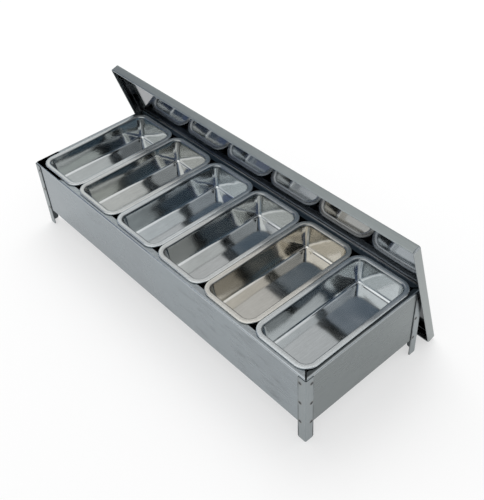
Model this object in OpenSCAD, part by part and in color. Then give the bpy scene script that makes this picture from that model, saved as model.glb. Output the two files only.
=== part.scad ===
// Six-tray topping box in sheet metal: a long box on four angle legs, six drawn trays hung
// in a row by their rims, and one loose cover pan that leans behind the box.
// X runs along the row of trays, -Y is the front and Z is up. Z = 0 is the table.

/* [Box] */
// Length over the legs
body_length = 620; // [500:1:760]
// Depth over the legs, front to rear
body_depth = 218; // [206:1:240]
// Height of the top ledges above the table
body_height = 125; // [105:1:180]
// Height of the underside above the table
underside = 32; // [12:1:45]
// Thickness of the body and cover sheet
sheet = 1; // [0.6:0.1:1.5]
// Outside radius of every fold
fold = 2; // [1.6:0.1:3]
// Width of the ledges folded in along the front and the rear
long_ledge = 10; // [8:0.5:11]
// Width of the ledges folded in along the two ends
end_ledge = 8; // [4:0.5:9]
// Slit between two ledges where they are mitred
mitre_slit = 1.2; // [0.6:0.1:3]
// Length of front ledge cut away at the front left corner
front_relief = 74; // [0:1:90]
// Length of left end ledge cut away at the same corner
end_relief = 40; // [0:1:60]
// Height of the folded-up edges of the base
base_flange = 14; // [8:1:20]
// Square notch in each corner of the base
base_notch = 6; // [5:0.5:12]

/* [Legs] */
// Width of each face of a leg angle
leg_face = 14; // [12:0.5:26]
// Gap between the top of a leg and the top ledges
leg_drop = 2.4; // [2:0.1:8]
// Radius of the free corners at the foot
foot_round = 3; // [1:0.5:6]
// Radius of a spot-weld dimple at the surface
weld_radius = 2.4; // [1.2:0.1:3.5]
// Radius of a spot-weld dimple at its bottom
weld_floor_radius = 1.5; // [0.8:0.1:2.5]
// Depth of a spot-weld dimple
weld_depth = 0.4; // [0.2:0.05:0.5]
// Distance from the free edge of a leg to its dimples
weld_edge = 4; // [3.6:0.1:7]
// Distance of the top dimples from the top of the leg
weld_top = 10; // [5:0.5:16]
// Distance of the bottom dimples from the underside
weld_low = 4; // [3:0.5:16]
// Number of dimples on each face of a leg
weld_count = 3; // [2:1:5]

/* [Trays] */
// Width of a tray over its rim, along the row
tray_width = 100.4; // [60:0.1:124]
// Length of a tray over its rim, front to rear
tray_length = 203; // [198:0.5:207]
// Depth of a tray inside, below its rim
tray_depth = 38; // [25:1:45]
// Width of the rim
rim_width = 8; // [7:0.5:9]
// Outside radius of the curled edge of the rim
rim_curl = 1.3; // [1:0.1:1.8]
// Thickness of the tray sheet
tray_sheet = 0.8; // [0.5:0.1:0.9]
// Radius of the opening at its corners
opening_radius = 13; // [12:0.5:20]
// How much the walls lean in between the rim and the floor
tray_draft = 7; // [6.5:0.1:7.5]
// Radius where the rim turns down into the wall
lip_radius = 2.5; // [1.8:0.1:3]
// Radius between the wall and the floor, inside
floor_radius = 5; // [3:0.5:6]
// Gap between two neighbouring rims
tray_gap = 0.4; // [0.3:0.1:2]
// Gap between the rims and the ledges under them
seat_gap = 0.3; // [0.2:0.1:1]
// How far the row sits forward of the middle of the box
row_forward = 1.5; // [1.5:0.1:2.4]
// How far the row sits to the right of the middle of the box
row_right = 2; // [0:0.1:3]

/* [Cover] */
// Depth of the skirt round the cover
skirt = 14; // [10:0.5:25]
// Play between the legs and the cover skirt at each end
cover_play_end = 7; // [2.5:0.5:8]
// Play between the legs and the cover skirt at front and rear
cover_play_side = 3; // [1.5:0.5:6]
// Height of the hem folded inside the free edge of the skirt
hem = 5; // [3:0.5:8]
// Slit at each corner where two skirts meet
corner_slit = 0.4; // [0.2:0.1:1]
// Lean of the cover away from upright
lean = 17; // [14:0.5:18]
// Gap between the cover and the rear corners it leans on
lean_gap = 0.3; // [0.2:0.1:1]
// How far the cover stands to the left of the middle of the box
cover_left = 3; // [0:0.5:3.5]

/* [Hidden] */
$fn = 48;
tray_count = 6;
// Amount by which a cutter runs past the face it cuts
over = 1;

// Outer faces of the body panels, inside the legs
panel_x = body_length / 2 - sheet;
panel_y = body_depth / 2 - sheet;
body_rise = body_height - underside;
// Inside radius of a leg's fold, which the panel corners stay clear of
leg_inside = fold - sheet;
leg_top = body_height - leg_drop;

// Cover, and where its outer bottom edge stands when it leans on the tops of the rear legs
cover_length = body_length + 2 * (cover_play_end + sheet);
cover_depth = body_depth + 2 * (cover_play_side + sheet);
cover_foot_z = skirt * sin(lean);
cover_foot_back = body_depth / 2
    + (sheet + lean_gap + sin(lean) * (leg_top - cover_foot_z)) / cos(lean);

// The middle of the box is set right and forward, so that box and cover together are centred
body_x = cover_left;
body_y = (body_depth / 2 - cover_foot_back) / 2;
cover_foot_y = cover_foot_back + body_y;

// Trays
tray_pitch = tray_width + tray_gap;
rim_top = body_height + seat_gap + 2 * rim_curl;
row_x = body_x + row_right;
row_y = body_y - row_forward;
wall_slope = tray_draft / tray_depth;
wall_angle = atan(wall_slope);
corner_x = tray_width / 2 - rim_width - opening_radius;
corner_y = tray_length / 2 - rim_width - opening_radius;
lip_axis = opening_radius - wall_slope * lip_radius + lip_radius / cos(wall_angle);
floor_axis = opening_radius - wall_slope * (tray_depth - floor_radius)
    - floor_radius / cos(wall_angle);
curl_axis = opening_radius + rim_width - rim_curl;
// Straight steps along each bend of the tray section
bend_steps = 5;

// A square from the origin into the first quadrant, with its corner at the origin rounded
module rounded_corner_square(size, r) {
    translate([r, 0]) square([size - r, size]);
    translate([0, r]) square([size, size - r]);
    translate([r, r]) circle(r = r);
}

// A folded angle of sheet: one flange up, one flange across, rounded at the fold
module sheet_angle(up, across, t, r) {
    reach = max(up, across) + over;
    intersection() {
        difference() {
            rounded_corner_square(reach, r);
            translate([t, t]) rounded_corner_square(reach, r - t);
        }
        square([across, up]);
    }
}

// A panel profile: X is inwards from the outer face, Y is up from the underside
module panel_profile(ledge) {
    translate([0, body_rise]) mirror([0, 1]) sheet_angle(body_rise, ledge, sheet, fold);
}

// Cutter for the mitre at the +X end of a front ledge; Y is inwards from the outer face
module mitre_cutter(ledge) {
    reach = ledge + fold + over;
    translate([0, 0, body_rise - fold]) linear_extrude(fold + over)
        polygon([[-mitre_slit / 2, 0], [-mitre_slit / 2 - reach, reach], [over, reach], [over, 0]]);
}

// A long panel in its own frame: along X, outer face on Y = 0, underside on Z = 0
module long_panel(relief_left) {
    half = panel_x - leg_inside;
    difference() {
        rotate([90, 0, 90]) translate([0, 0, -half]) linear_extrude(2 * half)
            panel_profile(long_ledge);
        translate([half, 0, 0]) mitre_cutter(long_ledge);
        mirror([1, 0, 0]) translate([half, 0, 0]) mitre_cutter(long_ledge);
        if (relief_left > 0)
            translate([-half - over, fold, body_rise - fold])
                cube([relief_left + over, long_ledge, fold + over]);
    }
}

// An end panel in its own frame: along X, outer face on Y = 0, between the long panels
module end_panel(relief_right) {
    half = panel_y - max(sheet, leg_inside);
    difference() {
        rotate([90, 0, 90]) translate([0, 0, -half]) linear_extrude(2 * half)
            panel_profile(end_ledge);
        translate([half, 0, 0]) mitre_cutter(end_ledge);
        mirror([1, 0, 0]) translate([half, 0, 0]) mitre_cutter(end_ledge);
        if (relief_right > 0)
            translate([half - relief_right, fold, body_rise - fold])
                cube([relief_right + over, end_ledge, fold + over]);
    }
}

module front_panel() {
    color("lightsteelblue") translate([body_x, body_y - panel_y, underside])
        long_panel(front_relief);
}

module rear_panel() {
    color("lightslategray") translate([body_x, body_y + panel_y, underside])
        rotate([0, 0, 180]) long_panel(0);
}

module right_end_panel() {
    color("silver") translate([body_x + panel_x, body_y, underside])
        rotate([0, 0, 90]) end_panel(0);
}

module left_end_panel() {
    color("silver") translate([body_x - panel_x, body_y, underside])
        rotate([0, 0, -90]) end_panel(end_relief);
}

// A shallow channel of sheet, seen from its end: width across, flanges up
module channel_profile(width) {
    for (side = [0, 1]) mirror([side, 0])
        translate([-width / 2, 0]) sheet_angle(base_flange, width / 2, sheet, fold);
}

// Base: a plate folded up on four sides, notched at the corners, between the panels
module base_panel() {
    inner_x = panel_x - sheet;
    inner_y = panel_y - sheet;
    color("gray") translate([body_x, body_y, underside]) {
        rotate([90, 0, 90]) translate([0, 0, base_notch - inner_x])
            linear_extrude(2 * (inner_x - base_notch)) channel_profile(2 * inner_y);
        rotate([90, 0, 0]) translate([0, 0, base_notch - inner_y])
            linear_extrude(2 * (inner_y - base_notch)) channel_profile(2 * inner_x);
    }
}

// Dimples down one face of a leg, cut into the face Y = 0 at their distance along X
module weld_dimples() {
    low = underside + weld_low;
    high = leg_top - weld_top;
    for (i = [0 : weld_count - 1])
        translate([leg_face - weld_edge, -over, low + (high - low) * i / (weld_count - 1)])
            rotate([-90, 0, 0]) {
                cylinder(r = weld_radius, h = over);
                translate([0, 0, over])
                    cylinder(r1 = weld_radius, r2 = weld_floor_radius, h = weld_depth);
            }
}

// Cutter for the rounded free corner at the foot of the face on Y = 0
module foot_cutter() {
    translate([leg_face - foot_round, sheet + over, 0]) rotate([90, 0, 0])
        linear_extrude(sheet + 2 * over) difference() {
            translate([0, -over]) square([foot_round + over, foot_round + over]);
            translate([0, foot_round]) circle(r = foot_round);
        }
}

// One leg: an angle with its outer corner on the Z axis and its faces along +X and +Y
module leg() {
    difference() {
        linear_extrude(leg_top) sheet_angle(leg_face, leg_face, sheet, fold);
        weld_dimples();
        foot_cutter();
        mirror([1, -1, 0]) weld_dimples();
        mirror([1, -1, 0]) foot_cutter();
    }
}

// A leg at one corner of the box: side is -1 at the left, end is -1 at the front
module leg_at(side, end) {
    color("darkgray")
        translate([body_x + side * body_length / 2, body_y + end * body_depth / 2, 0])
        mirror([side > 0 ? 1 : 0, 0, 0]) mirror([0, end > 0 ? 1 : 0, 0]) leg();
}

module front_left_leg() { leg_at(-1, -1); }
module front_right_leg() { leg_at(1, -1); }
module rear_left_leg() { leg_at(-1, 1); }
module rear_right_leg() { leg_at(1, 1); }

// Points along an arc about a centre, from angle a to angle b
function arc(centre, r, a, b, steps) =
    [for (i = [0 : steps]) let (q = a + (b - a) * i / steps) centre + r * [cos(q), sin(q)]];

// Section through a tray wall: X is the distance from a corner axis, Y = 0 is the rim top.
// It runs up the inside from the floor and over the rim, and comes back underneath.
module tray_section() {
    floor_centre = [floor_axis, floor_radius - tray_depth];
    lip_centre = [lip_axis, -lip_radius];
    curl_centre = [curl_axis, -rim_curl];
    curl_end = -150;
    polygon(concat(
        [[0, -tray_depth]],
        arc(floor_centre, floor_radius, -90, -wall_angle, bend_steps),
        arc(lip_centre, lip_radius, 180 - wall_angle, 90, bend_steps),
        arc(curl_centre, rim_curl, 90, curl_end, 2 * bend_steps),
        arc(curl_centre, rim_curl - tray_sheet, curl_end, 90, 2 * bend_steps),
        arc(lip_centre, lip_radius - tray_sheet, 90, 180 - wall_angle, bend_steps),
        arc(floor_centre, floor_radius + tray_sheet, -wall_angle, -90, bend_steps),
        [[0, -tray_depth - tray_sheet]]));
}

// One drawn tray, its rim top on Z = 0: four turned corners, four straight sides and a floor
module tray() {
    for (x = [-1, 1], y = [-1, 1])
        translate([x * corner_x, y * corner_y, 0])
            rotate([0, 0, x > 0 ? (y > 0 ? 0 : 270) : (y > 0 ? 90 : 180)])
                rotate_extrude(angle = 90) tray_section();
    for (a = [0, 180]) rotate([0, 0, a]) {
        translate([corner_x, corner_y, 0]) rotate([90, 0, 0])
            linear_extrude(2 * corner_y) tray_section();
        rotate([0, 0, 90]) translate([corner_y, corner_x, 0]) rotate([90, 0, 0])
            linear_extrude(2 * corner_x) tray_section();
    }
    translate([-corner_x, -corner_y, -tray_depth - tray_sheet])
        cube([2 * corner_x, 2 * corner_y, tray_sheet]);
}

// The tray at place i in the row, counted from the left
module tray_at(i) {
    color("whitesmoke")
        translate([row_x + (i - (tray_count + 1) / 2) * tray_pitch, row_y, rim_top]) tray();
}

module tray_1() { tray_at(1); }
module tray_2() { tray_at(2); }
module tray_3() { tray_at(3); }
module tray_4() { tray_at(4); }
module tray_5() { tray_at(5); }
module tray_6() { tray_at(6); }

// One skirt of the cover along X, its outer face on Y = 0, with the hem folded inside it
module cover_skirt(length) {
    rotate([90, 0, 90]) translate([0, 0, -length / 2]) linear_extrude(length) {
        sheet_angle(skirt, 2 * fold, sheet, fold);
        translate([sheet, skirt - hem]) square([sheet, hem]);
    }
}

// The cover lying on its outer face: a plate with four skirts standing up from it
module cover_pan() {
    long = cover_length - 2 * fold - 2 * corner_slit;
    short = cover_depth - 2 * fold - 2 * corner_slit;
    translate([fold - cover_length / 2, fold, 0])
        cube([cover_length - 2 * fold, cover_depth - 2 * fold, sheet]);
    cover_skirt(long);
    translate([0, cover_depth, 0]) rotate([0, 0, 180]) cover_skirt(long);
    translate([cover_length / 2, cover_depth / 2, 0]) rotate([0, 0, 90]) cover_skirt(short);
    translate([-cover_length / 2, cover_depth / 2, 0]) rotate([0, 0, -90]) cover_skirt(short);
}

// The cover leaning: its inside faces the box and its bottom skirt stands on the table
module cover() {
    color("slategray") translate([0, cover_foot_y, cover_foot_z])
        rotate([90 + lean, 0, 0]) cover_pan();
}

front_panel();
rear_panel();
left_end_panel();
right_end_panel();
base_panel();
front_left_leg();
front_right_leg();
rear_left_leg();
rear_right_leg();
tray_1();
tray_2();
tray_3();
tray_4();
tray_5();
tray_6();
cover();
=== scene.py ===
"""Six-tray topping box in sheet steel, with its loose cover leaning behind it.

Lengths in the size classes are in millimetres, as on a sheet-metal drawing, and meshes are in
metres. X runs along the row of trays, -Y is the front, Z is up and Z = 0 is the table.
"""
import logging
import math
from collections.abc import Callable
from dataclasses import dataclass, field
from enum import Enum

import bmesh
import bpy
import numpy as np
from mathutils import Matrix, Vector


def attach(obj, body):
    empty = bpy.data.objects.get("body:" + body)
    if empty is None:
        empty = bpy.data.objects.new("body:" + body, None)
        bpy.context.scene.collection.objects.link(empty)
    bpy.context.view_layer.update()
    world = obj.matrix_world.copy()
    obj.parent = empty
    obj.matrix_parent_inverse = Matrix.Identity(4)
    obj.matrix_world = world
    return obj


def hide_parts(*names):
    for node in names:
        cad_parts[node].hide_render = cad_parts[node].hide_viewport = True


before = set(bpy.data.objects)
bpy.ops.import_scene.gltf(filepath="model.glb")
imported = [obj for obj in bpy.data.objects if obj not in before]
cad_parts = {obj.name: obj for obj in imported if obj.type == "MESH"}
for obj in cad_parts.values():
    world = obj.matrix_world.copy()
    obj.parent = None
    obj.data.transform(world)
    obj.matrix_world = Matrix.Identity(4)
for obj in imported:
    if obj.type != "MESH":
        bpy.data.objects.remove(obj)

Array = np.ndarray
Socket = bpy.types.NodeSocket
Colour = tuple[float, float, float]

MM = 0.001  # metres in a millimetre
TOLERANCE = 1e-6  # millimetres that count as no distance
MERGE_DISTANCE = 2e-6  # metres within which points of a piece become one
SHARP_ANGLE = 40.0  # degrees above which an edge stays sharp
RIPPLE_GAIN = 1.6  # brings a ripple's sum of uneven sines up to about -1 to 1
CUT_SLACK = 1e-4  # from a cut in a ledge to the stations beside it, in half panels
CUT_REST = 1e-3  # share of its width that a ledge keeps where it is cut away
log = logging.getLogger("topping_box")


class Finish(Enum):
    """The steel finishes of the object, by the record's slot they belong to."""

    PANEL = "panel_steel"
    BASE = "base_steel"
    LEG = "leg_steel"
    TRAY = "tray_steel"
    COVER = "cover_steel"


class Side(Enum):
    """Which way an end or a corner lies from the middle."""

    LOW = -1
    HIGH = 1


class Wall(Enum):
    """The sides of the box, by the way along them that has the inside of the box at its left."""

    FRONT = (1, 0)
    RIGHT = (0, 1)
    REAR = (-1, 0)
    LEFT = (0, -1)


# ---------------------------------------------------------------------------------------------
# Sizes
# ---------------------------------------------------------------------------------------------


@dataclass(frozen=True)
class BoxSize:
    """Sizes of the folded box and its legs, in millimetres."""

    length: float = 620.0
    depth: float = 218.0
    height: float = 125.0
    underside: float = 32.0
    sheet: float = 1.0
    fold: float = 2.0
    long_ledge: float = 10.0
    end_ledge: float = 8.0
    mitre_slit: float = 1.2
    front_relief: float = 74.0  # length cut off the front ledge at the left
    end_relief: float = 40.0  # length cut off the left end's ledge at the front
    relief_step: float = 0.05
    base_flange: float = 14.0
    swell: float = 0.35  # how far a web bulges
    swell_wave: float = 210.0
    swell_fade: float = 50.0  # from a leg to where the bulge is full
    stations: int = 141
    leg_face: float = 14.0
    leg_drop: float = 2.4
    foot_round: float = 3.0
    weld_radius: float = 2.4
    weld_depth: float = 0.4
    weld_edge: float = 4.0  # from a leg's free edge
    weld_top: float = 10.0  # from the top of a leg
    weld_low: float = 4.0  # above the underside of the box
    weld_heat: float = 3.1  # reach of the heat colours
    weld_count: int = 3
    body_x: float = 3.0
    body_y: float = -18.7949

    @property
    def panel_x(self) -> float:
        """Half length over the end panels' outer faces."""
        return self.length / 2 - self.sheet

    @property
    def panel_y(self) -> float:
        """Half depth over the long panels' outer faces."""
        return self.depth / 2 - self.sheet

    @property
    def rise(self) -> float:
        """Height of a panel."""
        return self.height - self.underside

    @property
    def leg_inside(self) -> float:
        """Inside radius of a leg's fold."""
        return self.fold - self.sheet

    @property
    def leg_top(self) -> float:
        """Height of the top of a leg above the table."""
        return self.height - self.leg_drop


@dataclass(frozen=True)
class TraySize:
    """Sizes of one drawn tray and of the row it stands in, in millimetres."""

    width: float = 100.4
    length: float = 203.0
    depth: float = 38.0
    rim: float = 8.0
    curl: float = 1.3
    sheet: float = 0.8
    opening: float = 13.0
    draft: float = 7.0
    lip: float = 2.5
    floor: float = 5.0
    floor_inset: float = 16.0  # from the outer edge of the rim to where the floor is flat
    pitch: float = 100.8
    crown: float = 0.35  # how far the middle of the rim stands up
    sag: float = 0.45  # how far the middle of the floor hangs
    sag_ripple: float = 0.10
    sag_wave: float = 95.0
    bow: float = 0.14  # how far a wall bulges
    bow_wave: float = 120.0
    shade_line_place: float = 0.7  # from the opening, on the bend
    corner_points: int = 15
    long_steps: int = 26
    short_steps: int = 14
    floor_rings: int = 14
    pole_share: float = 1e-4  # size of the floor's innermost ring, as a share of its outermost
    row_x: float = 5.0
    row_y: float = -20.2953
    rim_top: float = 127.9
    count: int = 6

    @property
    def wall_angle(self) -> float:
        """Angle of the walls from upright."""
        return math.atan(self.draft / self.depth)


@dataclass(frozen=True)
class CoverSize:
    """Sizes and place of the leaning cover pan, in millimetres and degrees."""

    length: float = 636.0
    depth: float = 226.0
    skirt: float = 14.0
    hem: float = 5.0
    sheet: float = 1.0
    hem_play: float = 0.02  # what the sheet is thinned by, so that hem and skirt stay apart
    fold: float = 2.0
    corner_slit: float = 0.4
    swell: float = 0.45  # how far the plate bulges
    swell_wave: float = 330.0
    # Bounds of the painted shade on the cover's inside, standing in for reflected shadow.
    shade_wide: tuple[float, float] = (18.0, 44.0)  # full and none, from the right end
    shade_high: tuple[float, float] = (112.0, 150.0)  # full and none, above the table
    left_shade_wide: tuple[float, float] = (74.0, 110.0)  # full and none, from the left end
    shade_wander: float = 8.0
    shade_wave: float = 60.0
    stations: int = 161
    end_stations: int = 57
    lean: float = 17.0
    foot_y: float = 127.7953
    foot_z: float = 4.0932


# ---------------------------------------------------------------------------------------------
# Surfaces on grids
# ---------------------------------------------------------------------------------------------


def ease(x: Array, low: float, high: float) -> Array:
    """Smooth step: 0 below low, 1 above high and 3t^2 - 2t^3 between them.

    Args:
        x: Values to step.
        low: Where the step starts.
        high: Where the step ends.

    Returns:
        The stepped values, from 0 to 1.
    """
    t = np.clip((x - low) / (high - low), 0.0, 1.0)
    return t * t * (3.0 - 2.0 * t)


def ripple(a: Array, b: Array, seed: int, longest: float, waves: int = 7) -> Array:
    """Soft uneven swell of a hand-worked sheet: a sum of sines in seeded directions and phases.

    Wave k has a length of longest divided by (1 + k / 2) and a height of 1 / (1 + k). The sum is
    divided by that of the heights and multiplied by the ripple gain.

    Args:
        a: First coordinate, in millimetres.
        b: Second coordinate, in millimetres.
        seed: Picks the directions and phases.
        longest: Longest wave, in millimetres.
        waves: How many waves are added.

    Returns:
        Values from about -1 to 1.
    """
    rng = np.random.default_rng(seed)
    turn = rng.uniform(0, math.pi, waves)
    phase = rng.uniform(0, 2 * math.pi, waves)
    order = np.arange(waves)
    length = longest / (1 + order / 2)
    height = 1 / (1 + order)
    way = np.cos(turn) * a[..., None] + np.sin(turn) * b[..., None]
    total = (height * np.sin(2 * math.pi * way / length + phase)).sum(-1)
    return total / height.sum() * RIPPLE_GAIN


@dataclass
class Profile:
    """Middle line of a folded sheet seen from its end, kept as points and their left normals."""

    points: list[Array] = field(default_factory=list)
    normals: list[Array] = field(default_factory=list)

    def straight(self, start: tuple[float, float], end: tuple[float, float], steps: int) -> "Profile":
        """Adds a flat: evenly spaced points from start to end, with one normal.

        Args:
            start: First point.
            end: Last point.
            steps: Number of spaces between the points.

        Returns:
            The profile itself.
        """
        a, b = np.array(start, float), np.array(end, float)
        t = np.linspace(0, 1, steps + 1)[:, None]
        along = (b - a) / np.linalg.norm(b - a)
        self.points.append(a + (b - a) * t)
        self.normals.append(np.tile([-along[1], along[0]], (steps + 1, 1)))
        return self

    def bend(self, centre: tuple[float, float], radius: float, start: float, end: float,
             steps: int) -> "Profile":
        """Adds a fold: an arc about a centre, whose left normal points along the radius.

        Args:
            centre: Centre of the arc.
            radius: Radius of the middle line.
            start: First angle in degrees.
            end: Last angle in degrees.
            steps: Number of spaces between the points.

        Returns:
            The profile itself.
        """
        q = np.radians(np.linspace(start, end, steps + 1))
        ray = np.column_stack([np.cos(q), np.sin(q)])
        self.points.append(np.array(centre, float) + radius * ray)
        self.normals.append(-math.copysign(1.0, end - start) * ray)
        return self

    def mirrored(self, width: float) -> "Profile":
        """The line in a mirror, run backwards so that its left side stays its left side.

        Args:
            width: What a first coordinate and its mirrored one add up to.

        Returns:
            A new profile.
        """
        flip = np.array([-1.0, 1.0])
        return Profile([flip * part[::-1] + (width, 0.0) for part in reversed(self.points)],
                       [flip * part[::-1] for part in reversed(self.normals)])

    def joined(self, other: "Profile") -> "Profile":
        """This profile and then another, as a new one."""
        return Profile(self.points + other.points, self.normals + other.normals)

    def faces(self, thickness: float) -> tuple[Array, Array]:
        """Both faces of the sheet: the middle line moved half a thickness along its normals.

        Args:
            thickness: Thickness of the sheet.

        Returns:
            The left face and the right face, each as rows of two coordinates.
        """
        line, normal = np.concatenate(self.points), np.concatenate(self.normals)
        keep = np.ones(len(line), bool)
        keep[1:] = np.linalg.norm(np.diff(line, axis=0), axis=1) > TOLERANCE
        line, normal = line[keep], normal[keep]
        return line + normal * thickness / 2, line - normal * thickness / 2


@dataclass
class Skin:
    """Points, four-sided faces and painted point values of a piece while it is worked out."""

    points: Array
    quads: Array
    paint: dict[str, Array] = field(default_factory=dict)

    def joined(self, other: "Skin") -> "Skin":
        """This skin and another with the same painted values, as one.

        Args:
            other: The skin to add.

        Returns:
            A new skin with the points of both.
        """
        paint = {n: np.concatenate([mine, other.paint[n]]) for n, mine in self.paint.items()}
        return Skin(np.concatenate([self.points, other.points]),
                    np.concatenate([self.quads, other.quads + len(self.points)]), paint)


def grid_quads(rows: int, columns: int, ring: bool = False) -> Array:
    """Faces between the neighbouring points of a grid.

    Args:
        rows: Number of rows of points.
        columns: Number of points in a row.
        ring: Whether the last column joins the first.

    Returns:
        Four point numbers for each face.
    """
    index = np.arange(rows * columns).reshape(rows, columns)
    if ring:
        index = np.column_stack([index, index[:, :1]])
    corners = [index[:-1, :-1], index[:-1, 1:], index[1:, 1:], index[1:, :-1]]
    return np.stack(corners, -1).reshape(-1, 4)


def closed_sheet(first: Array, second: Array, paint: dict[str, Array], ring: bool = False,
                 outside: tuple[float, float] = (1.0, 0.0)) -> Skin:
    """A sheet with two faces: matching grids joined along their border by a strip.

    Args:
        first: Grid of points of one face, rows by columns by three.
        second: Grid of points of the other face, of the same shape.
        paint: Values on the grid, the same on both faces.
        ring: Whether the rows are rings about a middle point, so that only the last is a border.
        outside: The painted value "outside" on the first and on the second face.

    Returns:
        The closed skin.
    """
    rows, columns = first.shape[:2]
    count = rows * columns
    index = np.arange(count).reshape(rows, columns)
    if ring:
        border = index[-1]
    else:
        border = np.concatenate([index[0, :-1], index[:-1, -1], index[-1, :0:-1], index[:0:-1, 0]])
    after = np.roll(border, -1)
    strip = np.column_stack([border, after, after + count, border + count])
    faces = grid_quads(rows, columns, ring)
    values = {n: np.tile(np.broadcast_to(v, (rows, columns)).ravel(), 2) for n, v in paint.items()}
    values["outside"] = np.repeat(outside, count)
    return Skin(np.concatenate([first.reshape(-1, 3), second.reshape(-1, 3)]),
                np.concatenate([faces, faces + count, strip]), values)


def added(name: str, data: bpy.types.ID) -> bpy.types.Object:
    """Puts a new object into the scene.

    Args:
        name: Name of the object.
        data: Its mesh, light or camera.

    Returns:
        The new object.
    """
    made = bpy.data.objects.new(name, data)
    bpy.context.scene.collection.objects.link(made)
    return made


def make_piece(name: str, skin: Skin, finish: "SteelFinish", body: str, node: str) -> bpy.types.Object:
    """Puts a skin into a mesh, closes it, turns its faces outwards and hangs it on its body.

    Args:
        name: Name of the new object.
        skin: Its points, faces and values, in millimetres.
        finish: The finish it is dressed in.
        body: The moving body it rides on.
        node: The solid it stands for.

    Returns:
        The finished object.
    """
    mesh = bpy.data.meshes.new(name)
    mesh.from_pydata((skin.points * MM).tolist(), [], skin.quads.tolist())
    for label, values in skin.paint.items():
        layer = mesh.attributes.new(label, "FLOAT", "POINT")
        layer.data.foreach_set("value", values.astype(np.float32))
    work = bmesh.new()
    work.from_mesh(mesh)
    bmesh.ops.remove_doubles(work, verts=work.verts, dist=MERGE_DISTANCE)
    bmesh.ops.recalc_face_normals(work, faces=work.faces)
    work.to_mesh(mesh)
    work.free()
    mesh.polygons.foreach_set("use_smooth", np.ones(len(mesh.polygons), bool))
    mesh.set_sharp_from_angle(angle=math.radians(SHARP_ANGLE))
    mesh.materials.append(finish.material())
    piece = added(name, mesh)
    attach(piece, body)
    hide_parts(node)
    log.info("%s: %d faces on %s", name, len(mesh.polygons), body)
    return piece


# ---------------------------------------------------------------------------------------------
# Shader building blocks
# ---------------------------------------------------------------------------------------------


@dataclass
class Desk:
    """Short calls that place nodes in one tree and join them."""

    tree: bpy.types.NodeTree

    @classmethod
    def cleared(cls, owner: bpy.types.Material | bpy.types.World) -> "Desk":
        """A desk on the emptied tree of a material or a world.

        Args:
            owner: The material or world.

        Returns:
            The desk.
        """
        owner.use_nodes = True
        owner.node_tree.nodes.clear()
        return cls(owner.node_tree)

    def node(self, kind: str, inputs: dict | None = None, **settings: object) -> bpy.types.Node:
        """Places a node.

        Args:
            kind: Type of the node.
            inputs: Values or sockets for its inputs, by name or number.
            **settings: Properties of the node.

        Returns:
            The new node.
        """
        made = self.tree.nodes.new(kind)
        for key, value in settings.items():
            setattr(made, key, value)
        for key, value in (inputs or {}).items():
            self.feed(made.inputs[key], value)
        return made

    def feed(self, socket: Socket, value: object) -> None:
        """Joins a socket to another one, or gives it a constant; a colour gets an alpha of 1.

        Args:
            socket: The input socket.
            value: A socket or a constant.
        """
        if isinstance(value, bpy.types.NodeSocket):
            self.tree.links.new(value, socket)
        else:
            socket.default_value = (*value, 1.0) if socket.type == "RGBA" else value

    def painted(self, label: str) -> Socket:
        """A value painted on the points of the mesh."""
        return self.node("ShaderNodeAttribute", attribute_name=label).outputs["Fac"]

    def maths(self, operation: str, a: object, b: object = 0.0, c: object = 0.0,
              clamp: bool = False) -> Socket:
        """A Math node on up to three values.

        Args:
            operation: Blender's name for the operation.
            a: First value.
            b: Second value.
            c: Third value.
            clamp: Whether the result is held between 0 and 1.

        Returns:
            The result's socket.
        """
        values = dict(enumerate((a, b, c)))
        return self.node("ShaderNodeMath", values, operation=operation, use_clamp=clamp).outputs[0]

    def centred(self, value: object) -> Socket:
        """A value from 0 to 1 as one from -0.5 to 0.5."""
        return self.maths("SUBTRACT", value, 0.5)

    def stretched(self, vector: object, factors: object) -> Socket:
        """A vector times another, part by part."""
        both = {0: vector, 1: factors}
        return self.node("ShaderNodeVectorMath", both, operation="MULTIPLY").outputs[0]

    def mix(self, share: object, a: object, b: object, blend: str = "MIX") -> Socket:
        """A colour between two colours.

        Args:
            share: How much of the second colour, from 0 to 1.
            a: First colour.
            b: Second colour.
            blend: Blender's name for the way of mixing.

        Returns:
            The colour's socket.
        """
        made = self.node("ShaderNodeMix", data_type="RGBA", blend_type=blend)
        for place, value in ((0, share), (6, a), (7, b)):
            self.feed(made.inputs[place], value)
        return made.outputs[2]

    def span(self, value: object, low: float, high: float, to_low: float = 0.0,
             to_high: float = 1.0) -> Socket:
        """A smooth step of a value from one range to another.

        Args:
            value: The value.
            low: Where the step starts.
            high: Where the step ends.
            to_low: Result below low.
            to_high: Result above high.

        Returns:
            The result's socket.
        """
        values = dict(enumerate((value, low, high, to_low, to_high)))
        return self.node("ShaderNodeMapRange", values, interpolation_type="SMOOTHSTEP").outputs[0]

    def noise(self, vector: object, scale: object, detail: float = 2.0, rough: float = 0.5) -> Socket:
        """Value of a noise texture.

        Args:
            vector: Where it is read.
            scale: Its scale.
            detail: Number of finer layers.
            rough: Strength of the finer layers.

        Returns:
            The value's socket.
        """
        return self.node("ShaderNodeTexNoise", {"Vector": vector, "Scale": scale, "Detail": detail,
                                                "Roughness": rough}).outputs[0]


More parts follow.
